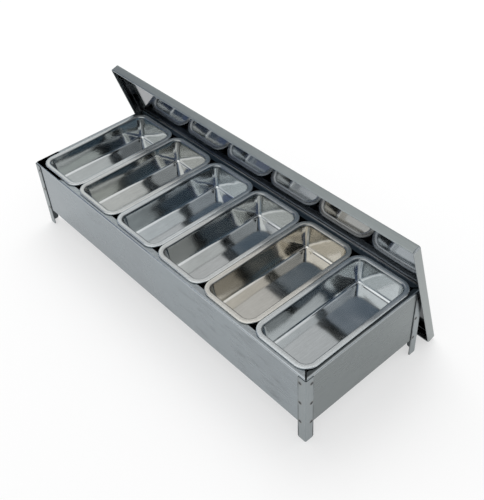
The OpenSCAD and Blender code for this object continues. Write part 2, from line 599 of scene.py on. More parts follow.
@dataclass(frozen=True)
class Effect:
    """A shader group for the steel finishes, with the recipe that works out its output."""

    name: str
    inputs: dict[str, str]
    output: tuple[str, str]
    recipe: Callable[..., Socket]

    def placed(self, desk: Desk, *values: object) -> Socket:
        """Places the group in a material. The first to ask for it has it built.

        Args:
            desk: Desk of the material.
            *values: Values or sockets for its inputs, in their order.

        Returns:
            The socket of its output.
        """
        tree = bpy.data.node_groups.get(self.name) or self._built()
        made = desk.node("ShaderNodeGroup", node_tree=tree)
        for label, value in zip(self.inputs, values):
            desk.feed(made.inputs[label], value)
        return made.outputs[0]

    def _built(self) -> bpy.types.NodeTree:
        """Lays out the group: its named sockets, and what its recipe makes of the inputs.

        Returns:
            The new group.
        """
        tree = bpy.data.node_groups.new(self.name, "ShaderNodeTree")
        for way, sockets in (("INPUT", self.inputs.items()), ("OUTPUT", (self.output,))):
            for label, kind in sockets:
                tree.interface.new_socket(name=label, in_out=way, socket_type=f"NodeSocket{kind}")
        desk = Desk(tree)
        inlet = desk.node("NodeGroupInput").outputs
        found = self.recipe(desk, *(inlet[label] for label in self.inputs))
        desk.node("NodeGroupOutput", {self.output[0]: found})
        return tree


def mottled(desk: Desk, vector: Socket, scale: Socket) -> Socket:
    """Broad clouds: two noises of different size, averaged and stretched to full range.

    Args:
        desk: Desk of the group.
        vector: Where they are read.
        scale: Scale of the broad noise.

    Returns:
        A value from 0 to 1.
    """
    broad = desk.noise(vector, scale, 2.0, 0.45)
    fine = desk.noise(vector, desk.maths("MULTIPLY", scale, 5.3), 3.0, 0.6)
    both = desk.maths("MULTIPLY_ADD", fine, 0.35, desk.maths("MULTIPLY", broad, 0.65))
    return desk.span(both, 0.34, 0.66)


def rolled(desk: Desk, vector: Socket, stretch: Socket) -> Socket:
    """Rolling grain: a noise read in stretched space, so that it draws out into fine lines.

    Args:
        desk: Desk of the group.
        vector: Where it is read.
        stretch: How much finer it is along each axis.

    Returns:
        A value from 0 to 1.
    """
    place = desk.stretched(vector, stretch)
    coarse = desk.noise(place, 1.0, 2.0, 0.6)
    fine = desk.noise(place, 3.1, 1.0, 0.5)
    return desk.maths("MULTIPLY_ADD", fine, 0.4, desk.maths("MULTIPLY", coarse, 0.6))


def scratched(desk: Desk, vector: Socket, amount: Socket) -> Socket:
    """Stray hairlines: thin ridges of drawn-out noise in two turned directions, kept only where a
    broad noise is high.

    Args:
        desk: Desk of the group.
        vector: Where they are read.
        amount: How strong they are.

    Returns:
        Their mask.
    """
    found = []
    for turn, scale, shift in ((0.5, (9.0, 260.0, 260.0), 3.0), (2.2, (7.0, 340.0, 340.0), 11.0)):
        place = desk.node("ShaderNodeMapping", {"Vector": vector, "Location": (shift, shift, shift),
                                                "Rotation": (turn, turn * 0.6, turn), "Scale": scale})
        ridge = desk.maths("ABSOLUTE", desk.centred(desk.noise(place.outputs[0], 1.0, 0.0, 0.0)))
        found.append(desk.span(ridge, 0.0, 0.012, 1.0, 0.0))
    where = desk.span(desk.noise(vector, 23.0), 0.5, 0.68)
    both = desk.maths("MULTIPLY", desk.maths("MAXIMUM", *found), where)
    return desk.maths("MULTIPLY", both, amount)


def rubbed_and_lit_edges(desk: Desk, vector: Socket, edge: Socket, amount: Socket) -> Socket:
    """Rubbed edges, partly wear and partly a painted highlight: the painted edge value,
    broken up by a fine noise.

    Args:
        desk: Desk of the group.
        vector: Where the noise is read.
        edge: The painted value.
        amount: How strong the wear and the painted highlight are.

    Returns:
        Its mask.
    """
    speck = desk.noise(vector, 420.0, 3.0, 0.6)
    worn_and_lit = desk.maths("ADD", edge, desk.centred(speck))
    return desk.maths("MULTIPLY", desk.span(worn_and_lit, 0.35, 0.95), amount)


def tempered(desk: Desk, steel: Socket, heat: Socket) -> Socket:
    """Colours round a weld, from a faint straw rim through brown to a sooty blue-grey middle.

    Args:
        desk: Desk of the group.
        steel: Colour of the steel.
        heat: 1 in the middle of a weld and 0 away from it.

    Returns:
        The colour.
    """
    straw = desk.mix(desk.span(heat, 0.15, 0.4, 0.0, 0.3), steel, (0.27, 0.25, 0.21))
    brown = desk.mix(desk.span(heat, 0.38, 0.62, 0.0, 0.85), straw, (0.055, 0.055, 0.055))
    return desk.mix(desk.span(heat, 0.7, 0.95, 0.0, 0.8), brown, (0.025, 0.035, 0.045))


def dented(desk: Desk, vector: Socket, scale: Socket) -> Socket:
    """Soft unevenness of thin sheet: two smooth noises with no fine layers.

    Args:
        desk: Desk of the group.
        vector: Where they are read.
        scale: Scale of the broad noise.

    Returns:
        A height.
    """
    broad = desk.noise(vector, scale, 0.0, 0.0)
    small = desk.noise(vector, desk.maths("MULTIPLY", scale, 2.7), 0.0, 0.0)
    return desk.maths("MULTIPLY_ADD", small, 0.22, broad)


def scuffed(desk: Desk, vector: Socket, amount: Socket) -> Socket:
    """Handling smears: patches of drawn-out noise, kept where a broad noise is high.

    Args:
        desk: Desk of the group.
        vector: Where they are read.
        amount: How strong they are.

    Returns:
        Their mask.
    """
    place = desk.stretched(vector, (26.0, 26.0, 95.0))
    smear = desk.span(desk.noise(place, 1.0, 3.0, 0.6), 0.5, 0.8)
    where = desk.span(desk.noise(vector, 6.0, 1.0), 0.45, 0.7)
    return desk.maths("MULTIPLY", desk.maths("MULTIPLY", smear, where), amount)


CLOUDS = Effect("steel_clouds", {"Vector": "Vector", "Scale": "Float"}, ("Value", "Float"), mottled)
GRAIN = Effect("rolling_grain", {"Vector": "Vector", "Stretch": "Vector"}, ("Value", "Float"), rolled)
SCRATCHES = Effect("hairline_scratches", {"Vector": "Vector", "Amount": "Float"}, ("Mask", "Float"),
                   scratched)
EDGE_WEAR_AND_HIGHLIGHT = Effect("edge_wear_and_highlight", {"Vector": "Vector", "Edge": "Float", "Amount": "Float"},
                   ("Mask", "Float"), rubbed_and_lit_edges)
WELD_HEAT = Effect("weld_heat", {"Steel": "Color", "Heat": "Float"}, ("Color", "Color"), tempered)
DENTS = Effect("soft_dents", {"Vector": "Vector", "Scale": "Float"}, ("Height", "Float"), dented)
SCUFFS = Effect("handling_scuffs", {"Vector": "Vector", "Amount": "Float"}, ("Mask", "Float"), scuffed)


# ---------------------------------------------------------------------------------------------
# Finishes
# ---------------------------------------------------------------------------------------------


SMEAR_COLOUR: Colour = (0.12, 0.135, 0.145)
# Near black of the painted shade: laid where shadow falls and where the steel reflects dark
# surroundings.
PAINTED_SHADE_COLOUR: Colour = (0.035, 0.040, 0.043)


@dataclass(frozen=True)
class SteelFinish:
    """One steel finish: its colours, gloss, grain and marks. Heights are in millimetres."""

    name: str
    slot: Finish
    tint: Colour
    shade: Colour
    roughness: float
    rough_spread: float  # what the clouds add to the roughness
    cloud_scale: float = 9.0
    grain_stretch: tuple[float, float, float] = (40.0, 900.0, 900.0)
    grain_depth: float = 0.0006
    grain_gloss: float = 0.12  # what the grain adds to the roughness
    grain_tone: float = 0.35  # how strongly it streaks the colour
    dent_scale: float = 11.0
    dent_depth: float = 0.25
    scratch: float = 0.5
    scratch_depth: float = 0.0006
    scratch_gloss: float = 0.12
    # Edge colour and its share: rubbed wear, and on folds, ledges and hems a painted highlight.
    wear_and_highlight: float = 0.5
    worn_and_lit: Colour = (0.62, 0.64, 0.65)
    scuff: float = 0.0
    dull_edge: float = 0.0  # what a painted edge adds to the roughness
    matt_edge: float = 0.0  # what it takes from the metallic share
    dull_outside: float = 0.0
    dim_outside: Colour = (1.0, 1.0, 1.0)
    heat: bool = False

    def material(self) -> bpy.types.Material:
        """The material of this finish, built the first time it is asked for."""
        return bpy.data.materials.get(self.name) or self._build()

    def _build(self) -> bpy.types.Material:
        """Lays out the nodes. The edges turn less metallic by their matt share.

        Returns:
            The new material.
        """
        made = bpy.data.materials.new(self.name)
        desk = Desk.cleared(made)
        place = desk.node("ShaderNodeTexCoord").outputs["Object"]
        clouds = CLOUDS.placed(desk, place, self.cloud_scale)
        grain = GRAIN.placed(desk, place, self.grain_stretch)
        marks = SCRATCHES.placed(desk, place, self.scratch)
        shader = desk.node("ShaderNodeBsdfPrincipled", {
            "Base Color": self._colour(desk, place, clouds, grain),
            "Metallic": desk.maths("MULTIPLY_ADD", desk.painted("edge"), -self.matt_edge, 1.0),
            "Roughness": self._roughness(desk, clouds, grain, marks),
            "Normal": self._normal(desk, place, grain, marks)})
        desk.node("ShaderNodeOutputMaterial", {"Surface": shader.outputs[0]})
        return made

    def _colour(self, desk: Desk, place: Socket, clouds: Socket, grain: Socket) -> Socket:
        """Clouds between shade and tint, streaked by the grain; then smears, painted shade, the dimmer
        outside, rubbed edges that are partly a painted highlight, and weld colours, each laid over
        the last.

        Args:
            desk: Desk of the material.
            place: Object coordinates.
            clouds: Value of the clouds.
            grain: Value of the grain.

        Returns:
            The colour's socket.
        """
        colour = desk.mix(clouds, self.shade, self.tint)
        streak = desk.maths("MULTIPLY_ADD", desk.centred(grain), self.grain_tone, 1.0)
        colour = desk.mix(1.0, colour, streak, "MULTIPLY")
        if self.scuff:
            colour = desk.mix(SCUFFS.placed(desk, place, self.scuff), colour, SMEAR_COLOUR)
        # Painted shade: darkened to near black by the painted value.
        colour = desk.mix(desk.painted("grime"), colour, PAINTED_SHADE_COLOUR)
        dimmed = desk.mix(1.0, colour, self.dim_outside, "MULTIPLY")
        colour = desk.mix(desk.painted("outside"), colour, dimmed)
        # Edges: rubbed wear, and on folds, ledges and hems a painted highlight.
        wear_and_highlight = EDGE_WEAR_AND_HIGHLIGHT.placed(desk, place, desk.painted("edge"), self.wear_and_highlight)
        colour = desk.mix(wear_and_highlight, colour, self.worn_and_lit)
        if self.heat:
            colour = WELD_HEAT.placed(desk, colour, desk.painted("weld"))
        return colour

    def _roughness(self, desk: Desk, clouds: Socket, grain: Socket, marks: Socket) -> Socket:
        """The finish's roughness plus a share of each value, held between 0 and 1.

        Args:
            desk: Desk of the material.
            clouds: Value of the clouds.
            grain: Value of the grain.
            marks: Mask of the scratches.

        Returns:
            The roughness's socket.
        """
        total: object = self.roughness
        for value, share in ((desk.centred(clouds), self.rough_spread),
                             (desk.centred(grain), self.grain_gloss), (marks, self.scratch_gloss),
                             (desk.painted("edge"), self.dull_edge)):
            total = desk.maths("MULTIPLY_ADD", value, share, total)
        return desk.maths("MULTIPLY_ADD", desk.painted("outside"), self.dull_outside, total, clamp=True)

    def _normal(self, desk: Desk, place: Socket, grain: Socket, marks: Socket) -> Socket:
        """The bump of the dents, the grain and the scratches.

        Args:
            desk: Desk of the material.
            place: Object coordinates.
            grain: Value of the grain.
            marks: Mask of the scratches.

        Returns:
            The normal's socket.
        """
        dents = DENTS.placed(desk, place, self.dent_scale)
        height = desk.maths("MULTIPLY", dents, self.dent_depth)
        height = desk.maths("MULTIPLY_ADD", grain, self.grain_depth, height)
        height = desk.maths("MULTIPLY_ADD", marks, -self.scratch_depth, height)
        bump = desk.node("ShaderNodeBump", {"Strength": 1.0, "Distance": MM, "Height": height})
        return bump.outputs[0]


PANEL_STEEL = SteelFinish(
    "panel_satin_steel", Finish.PANEL, tint=(0.30, 0.335, 0.355), shade=(0.262, 0.292, 0.31),
    roughness=0.26, rough_spread=0.10, dent_scale=9.0, dent_depth=0.5, scuff=0.5)
# A darker copy of the panel steel for the end panels: painted shade, as they are the same steel as the
# front and rear.
SHADED_END_STEEL = SteelFinish(
    "end_satin_steel_painted_darker", Finish.PANEL, tint=(0.22, 0.243, 0.245), shade=(0.193, 0.214, 0.216),
    roughness=0.28, rough_spread=0.10, grain_stretch=(900.0, 40.0, 900.0), dent_scale=9.0,
    dent_depth=0.4, scuff=0.3)
BASE_STEEL = SteelFinish(
    "base_mill_steel", Finish.BASE, tint=(0.34, 0.36, 0.38), shade=(0.28, 0.30, 0.32),
    roughness=0.34, rough_spread=0.12, dent_depth=0.3)
LEG_STEEL = SteelFinish(
    "leg_brushed_steel", Finish.LEG, tint=(0.31, 0.34, 0.35), shade=(0.27, 0.30, 0.31),
    roughness=0.32, rough_spread=0.10, grain_stretch=(700.0, 700.0, 30.0), dent_scale=20.0,
    dent_depth=0.06, heat=True)
COVER_STEEL = SteelFinish(
    "cover_bright_steel", Finish.COVER, tint=(0.415, 0.43, 0.45), shade=(0.38, 0.395, 0.415),
    roughness=0.08, rough_spread=0.04, grain_depth=0.00015, grain_gloss=0.03, dent_scale=5.0,
    dent_depth=0.35, dull_outside=0.24, dim_outside=(0.80, 0.83, 0.785))
TRAY_WARMTH = (0.0, 0.008, -0.008, 0.004, 0.036, -0.006)


def tray_finish(number: int) -> SteelFinish:
    """The polished finish of one tray, a little warmer or cooler from tray to tray.

    Args:
        number: Place of the tray in the row, counted from the left.

    Returns:
        The finish.
    """
    warm = TRAY_WARMTH[number - 1]
    cool = -1.2 * warm
    return SteelFinish(
        f"tray_{number}_bright_steel", Finish.TRAY, tint=(0.635 + warm, 0.65, 0.647 + cool),
        shade=(0.585 + warm, 0.60, 0.597 + cool), roughness=0.10, rough_spread=0.04,
        cloud_scale=14.0 + number, grain_stretch=(500.0, 35.0, 500.0), grain_depth=0.00006,
        grain_gloss=0.03, dent_scale=11.0 + number, dent_depth=0.22, scratch=0.3, wear_and_highlight=0.85,
        worn_and_lit=(0.45 + warm, 0.48, 0.47 + cool), dull_edge=0.34, matt_edge=0.5, dull_outside=0.2,
        dim_outside=(0.8, 0.8, 0.8))


# ---------------------------------------------------------------------------------------------
# The box
# ---------------------------------------------------------------------------------------------


@dataclass
class BoxPanel:
    """One folded side of the box: an upright web with a ledge turned in along its top."""

    name: str
    wall: Wall
    size: BoxSize
    finish: SteelFinish
    relief: float = 0.0
    relief_end: Side = Side.LOW
    grime: float = 0.0
    seed: int = 1

    @property
    def is_long(self) -> bool:
        """Whether the panel runs along the length of the box."""
        return self.wall in (Wall.FRONT, Wall.REAR)

    @property
    def half(self) -> float:
        """Half the panel's own length; an end panel stands between the long ones."""
        s = self.size
        return s.panel_x - s.leg_inside if self.is_long else s.panel_y - max(s.sheet, s.leg_inside)

    def _section(self) -> tuple[Array, Array]:
        """The web, the fold and the ledge, as seen from the panel's end.

        Returns:
            Outer and inner face: distance inward and height above the underside.
        """
        s = self.size
        t, top = s.sheet, s.rise - s.fold
        ledge = s.long_ledge if self.is_long else s.end_ledge
        return (Profile().straight((t / 2, 0), (t / 2, top), steps=26)
                .bend((s.fold, top), s.fold - t / 2, 180, 90, steps=6)
                .straight((s.fold, s.rise - t / 2), (ledge, s.rise - t / 2), steps=4).faces(t))

    def build(self) -> bpy.types.Object:
        """Carries the section along the panel.

        The fold is painted bright, partly as rubbed wear and partly as a painted highlight, and the
        ledge of a panel with no painted shade gets the same painted highlight. The other ledges are
        painted dark by their panel's painted shade, standing in for shadow.

        Returns:
            The finished panel.
        """
        s = self.size
        outer, inner = self._section()
        station = np.linspace(-1, 1, s.stations)
        if self.relief:
            cut = self.relief_end.value * (1.0 - self.relief / self.half)
            station = np.sort(np.concatenate([station, cut + CUT_SLACK * np.array([-1, 1])]))
        upper = outer[:, 1] > s.rise - s.fold + TOLERANCE
        grids = [self._carried(face, upper, station[:, None]) for face in (outer, inner)]
        ledge = ease(outer[:, 0], s.fold - 0.6, s.fold + 0.6)
        # Edge value: the fold is painted brighter, partly wear and partly a painted highlight; a ledge
        # with no painted shade gets the same painted highlight.
        edge = ease(outer[:, 1], s.rise - 3.4, s.rise - 1.2) * (1 - ease(outer[:, 0], 1.6, 3.4))
        if not self.grime:
            edge = np.maximum(edge, 0.72 * ledge)
        # Painted shade: the ledge of a panel with a share of it is darkened near black, standing in for
        # shadow.
        skin = closed_sheet(*grids, {"edge": edge, "grime": self.grime * ledge})
        return make_piece(self.name + "_sheet", skin, self.finish, "box", self.name)

    def _carried(self, face: Array, upper: Array, station: Array) -> Array:
        """Carries one face of the section along the panel.

        The ends follow the mitre: above the web, the half length is shortened by half a slit and
        by the distance inward. Where the ledge is cut away, what is past the sheet's own
        thickness is drawn back to it. The web swells outwards in a soft ripple, from nothing to
        its swell, which fades out at the ends, at the base's flange and at the fold.

        Args:
            face: The face: distance inward and height above the underside.
            upper: Which points of the section are above the web.
            station: Places along the panel, from -1 to 1, as a column.

        Returns:
            A grid of points in the frame of the object.
        """
        s = self.size
        a, z = (np.tile(part, (len(station), 1)) for part in face.T)
        x = station * (self.half - upper * (s.mitre_slit / 2 + np.maximum(face[:, 0], 0)))
        if self.relief:
            away = self.half - self.relief_end.value * x
            kept = ease(away, self.relief - s.relief_step, self.relief + s.relief_step)
            a = np.where(a > s.sheet, s.sheet + (a - s.sheet) * np.maximum(kept, CUT_REST), a)
        fade = (ease(z, s.base_flange + 2, s.base_flange + 26) * ease(s.rise - z, 3, 22)
                * ease(self.half - np.abs(x), s.leg_face, s.leg_face + s.swell_fade))
        a = a - s.swell * (0.5 + 0.5 * ripple(x, z, self.seed, s.swell_wave)) * fade
        a = a - (s.panel_y if self.is_long else s.panel_x)
        along_x, along_y = self.wall.value
        return np.stack([s.body_x + x * along_x - a * along_y, s.body_y + x * along_y + a * along_x,
                         z + s.underside], -1)


@dataclass
class AngleLeg:
    """One leg: an upright angle spot-welded round a corner of the box."""

    name: str
    size: BoxSize
    x_side: Side
    y_side: Side
    shade_share: float = 0.88
    seam_wave: float = 34.0

    def build(self) -> bpy.types.Object:
        """Carries the angle's section up the leg and paints it.

        A broken line of painted shadow runs along the free edges, and the inside of the angle is
        painted dark as shade.

        Returns:
            The finished leg.
        """
        s = self.size
        t, r = s.sheet, s.fold
        outer, inner = (Profile().straight((s.leg_face, t / 2), (r, t / 2), steps=44)
                        .bend((r, r), r - t / 2, 270, 180, steps=7)
                        .straight((t / 2, r), (t / 2, s.leg_face), steps=44).faces(t))
        welds = np.linspace(s.underside + s.weld_low, s.leg_top - s.weld_top, s.weld_count)
        z = self._levels(welds)
        outside, away = self._carried(outer, z, welds, s.weld_depth)
        inside, _ = self._carried(inner, z, welds, 0.0)
        across = outer.max(1)
        seed = 5 + 2 * self.x_side.value + self.y_side.value
        broken = 0.55 + 0.4 * ripple(z, np.zeros_like(z), seed, self.seam_wave, waves=9)
        seam_shade = np.clip(ease(across, s.leg_face - 2.3, s.leg_face - 1.2) * broken, 0, 1)
        # Painted light: a highlight along the fold through the edge value, and a broken dark line of
        # painted shadow along the free edges.
        skin = closed_sheet(outside, inside, {"edge": 0.45 * np.exp(-((across - r) / 1.4)**2),
                                              "weld": np.exp(-(away / s.weld_heat)**2), "grime": seam_shade})
        # Painted shade: the inside faces of the angle are darkened near black.
        shaded_inside = self.shade_share * (1 - skin.paint["outside"])
        skin.paint["grime"] = np.maximum(skin.paint["grime"], shaded_inside)
        return make_piece(self.name + "_angle", skin, LEG_STEEL, "box", self.name)

    def _levels(self, welds: Array) -> Array:
        """Heights of the rows of points: close together at the foot's rounding and at the welds.

        Args:
            welds: Heights of the welds.

        Returns:
            The heights, as a column.
        """
        s = self.size
        foot = s.foot_round * (1 - np.cos(np.linspace(0, math.pi / 2, 9)))
        shaft = np.linspace(s.foot_round, s.leg_top, 30)
        near = (welds[:, None] + 1.5 * s.weld_radius * np.linspace(-1, 1, 19)).ravel()
        return np.unique(np.round(np.concatenate([foot, shaft, near]), 4))[:, None]

    def _carried(self, face: Array, z: Array, welds: Array, pressed: float) -> tuple[Array, Array]:
        """Carries one face of the section up the leg and presses the weld marks into it.

        Below the foot's rounding the free edges draw in along a quarter circle. A weld mark is a
        bowl: its depth times one minus a smooth step of the distance from its middle.

        Args:
            face: The face: distances inward from the outer corner, along X and along Y.
            z: Heights, as a column.
            welds: Heights of the welds.
            pressed: Depth of the weld marks.

        Returns:
            A grid of points in the frame of the object, and their distance from the next weld.
        """
        s = self.size
        short = np.maximum(s.foot_round - z, 0)
        draw = s.foot_round - np.sqrt(np.maximum(s.foot_round**2 - short**2, 0))
        pull = np.maximum(face.max(1) - s.fold, 0) / (s.leg_face - s.fold) * draw
        runs_x = face[:, 0] > face[:, 1]
        x, y = face[:, 0] - runs_x * pull, face[:, 1] - ~runs_x * pull
        along = np.maximum(x, y) - (s.leg_face - s.weld_edge)
        away = np.sqrt(along[..., None]**2 + (z[..., None] - welds)**2).min(-1)
        bowl = pressed * (1 - ease(away, 0.5, s.weld_radius))
        x, y = x + ~runs_x * bowl, y + runs_x * bowl
        return np.stack([s.body_x + self.x_side.value * (s.length / 2 - x),
                         s.body_y + self.y_side.value * (s.depth / 2 - y),
                         np.broadcast_to(z, x.shape)], -1), away


@dataclass
class Box:
    """The box: four folded panels, a base and four legs."""

    size: BoxSize

    def build(self) -> None:
        """Builds the panels and legs, and dresses the base."""
        s = self.size
        BoxPanel("front_panel", Wall.FRONT, s, PANEL_STEEL, relief=s.front_relief, seed=4).build()
        # The rear and right end ledges carry painted shade, near black, standing in for shadow.
        BoxPanel("rear_panel", Wall.REAR, s, PANEL_STEEL, grime=0.75, seed=9).build()
        BoxPanel("right_end_panel", Wall.RIGHT, s, SHADED_END_STEEL, grime=0.7, seed=15).build()
        BoxPanel("left_end_panel", Wall.LEFT, s, SHADED_END_STEEL, relief=s.end_relief, relief_end=Side.HIGH,
                 seed=22).build()
        for y_side, front in ((Side.LOW, "front"), (Side.HIGH, "rear")):
            for x_side, left in ((Side.LOW, "left"), (Side.HIGH, "right")):
                AngleLeg(f"{front}_{left}_leg", s, x_side, y_side).build()
        self._dress_base()

    def _dress_base(self) -> None:
        """Gives the base its own steel in every slot of its mesh."""
        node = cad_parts["base_panel"]
        node.data.materials.clear()
        node.data.materials.append(BASE_STEEL.material())


# ---------------------------------------------------------------------------------------------
# The trays
# ---------------------------------------------------------------------------------------------


@dataclass
class DrawnTray:
    """One drawn tray: a rounded rectangle with sloping walls, a flat rim and a curled edge."""

    number: int
    size: TraySize

    @property
    def name(self) -> str:
        """Name of the tray's body and of its solid."""
        return f"tray_{self.number}"

    def _section(self) -> tuple[Array, Array]:
        """The wall, from the bend at the floor to the curled edge of the rim.

        Returns:
            Inside and underside: distance from a corner's axis, and height.
        """
        s = self.size
        t, tilt = s.sheet, s.wall_angle
        q, slope = math.degrees(tilt), math.tan(tilt)
        lip_axis = s.opening - slope * s.lip + s.lip / math.cos(tilt)
        floor_axis = s.opening - slope * (s.depth - s.floor) - s.floor / math.cos(tilt)
        curl_axis = s.opening + s.rim - s.curl
        wall = Profile().bend((floor_axis, s.floor - s.depth), s.floor + t / 2, -90, -q, steps=10)
        reach = s.lip - t / 2
        head = (lip_axis - reach * math.cos(tilt), reach * math.sin(tilt) - s.lip)
        return (wall.straight(tuple(wall.points[-1][-1]), head, steps=10)
                .bend((lip_axis, -s.lip), reach, 180 - q, 90, steps=8)
                .straight((lip_axis, -t / 2), (curl_axis, -t / 2), steps=8)
                .bend((curl_axis, -s.curl), s.curl - t / 2, 90, -150, steps=16).faces(t))

    def _ring(self) -> tuple[Array, Array]:
        """The way round the tray: at each corner its axis with a quarter turn, and the sides.

        Returns:
            Base points round the tray and the outward direction at each of them.
        """
        s = self.size
        cx, cy = s.width / 2 - s.rim - s.opening, s.length / 2 - s.rim - s.opening
        corner = np.array([[cx, cy], [-cx, cy], [-cx, -cy], [cx, -cy]])
        base, way = [], []
        for k in range(4):
            q = math.pi / 2 * (k + np.linspace(0, 1, s.corner_points))
            turn = np.column_stack([np.cos(q), np.sin(q)])
            steps = s.long_steps if k % 2 else s.short_steps
            t = np.linspace(0, 1, steps + 1)[1:-1, None]
            base += [np.tile(corner[k], (len(q), 1)), corner[k] + (corner[(k + 1) % 4] - corner[k]) * t]
            way += [turn, np.tile(turn[-1], (len(t), 1))]
        return np.concatenate(base), np.concatenate(way)

    def build(self) -> bpy.types.Object:
        """Carries the section round the ring, draws the floor in to its middle and paints both.

        The rim is rubbed, and a painted shadow line darkens the bend just inside it.

        Returns:
            The finished tray.
        """
        s = self.size
        top, under = self._section()
        base, way = self._ring()
        grids = [self._carried(face, base, way) for face in (top, under)]
        across, z = self._rows(under)
        # Painted shadow: a dark line on the bend just inside the rim.
        crease = np.exp(-(across / s.shade_line_place - 1) ** 2) * ease(z, -3.6, -2.4)
        skin = closed_sheet(*grids, {"edge": 0.8 * ease(z, -1.4, -0.2), "grime": 0.6 * crease},
                            ring=True, outside=(0.0, 1.0))
        return make_piece(self.name + "_shell", skin, tray_finish(self.number), self.name, self.name)

    def _rows(self, face: Array) -> tuple[Array, Array]:
        """Where the rings of one face lie, the floor's first.

        Args:
            face: The face: distance from a corner's axis, and height.

        Returns:
            Distance outward from the opening, 0 on the floor, and height, both as columns.
        """
        s = self.size
        across = np.concatenate([np.zeros(s.floor_rings), face[:, 0] - s.opening])
        z = np.concatenate([np.full(s.floor_rings, face[0, 1]), face[:, 1]])
        return across[:, None], z[:, None]

    def _carried(self, face: Array, base: Array, way: Array) -> Array:
        """Carries one face round the ring.

        A wall point is its base point plus its distance times the outward direction. A floor
        point is the innermost ring shrunk towards the middle. The floor sags by its sag times
        (1 - u^2)(1 - v^2), where u and v go from 0 in the middle to 1 at the walls, with a soft
        ripple on it. The walls bow by up to their bow between the floor and the rim. The rim
        rises by its crown times sin^2(pi t), where t goes from 0 to 1 across it.

        Args:
            face: The face: distance from a corner's axis, and height.
            base: Base points round the tray.
            way: Outward direction at each of them.

        Returns:
            Rings of points in the frame of the object, from the middle outwards.
        """
        s = self.size
        across, z = self._rows(face)
        wall = base + face[:, 0, None, None] * way
        shrink = np.linspace(0.0, 1.0, s.floor_rings + 1)[:-1] ** 0.8
        flat = np.concatenate([wall[0] * np.maximum(shrink, s.pole_share)[:, None, None], wall])
        x, y = flat[..., 0], flat[..., 1]
        u, v = x / (s.width / 2 - s.floor_inset), y / (s.length / 2 - s.floor_inset)
        dish = np.clip(1 - u**2, 0, 1) * np.clip(1 - v**2, 0, 1)
        low = 1 - ease(z, -s.depth - 1, -s.depth + 3)
        wave = ripple(x, y, 30 + self.number, s.sag_wave)
        sag = low * (s.sag_ripple * wave * np.sqrt(dish) - s.sag * dish)
        fade = ease(z, -s.depth + 4, -s.depth + 14) * ease(-z, 3, 12)
        side = ripple(x + y, np.broadcast_to(z * 2, x.shape), 60 + self.number, s.bow_wave)
        flat = flat + way * (s.bow * side * fade)[..., None]
        crown = s.crown * np.sin(math.pi * np.clip(across / s.rim, 0, 1)) ** 2
        cx = s.row_x + (self.number - (s.count + 1) / 2) * s.pitch
        return np.stack([cx + flat[..., 0], s.row_y + flat[..., 1], s.rim_top + z + sag + crown], -1)


# ---------------------------------------------------------------------------------------------
# The cover
# ---------------------------------------------------------------------------------------------


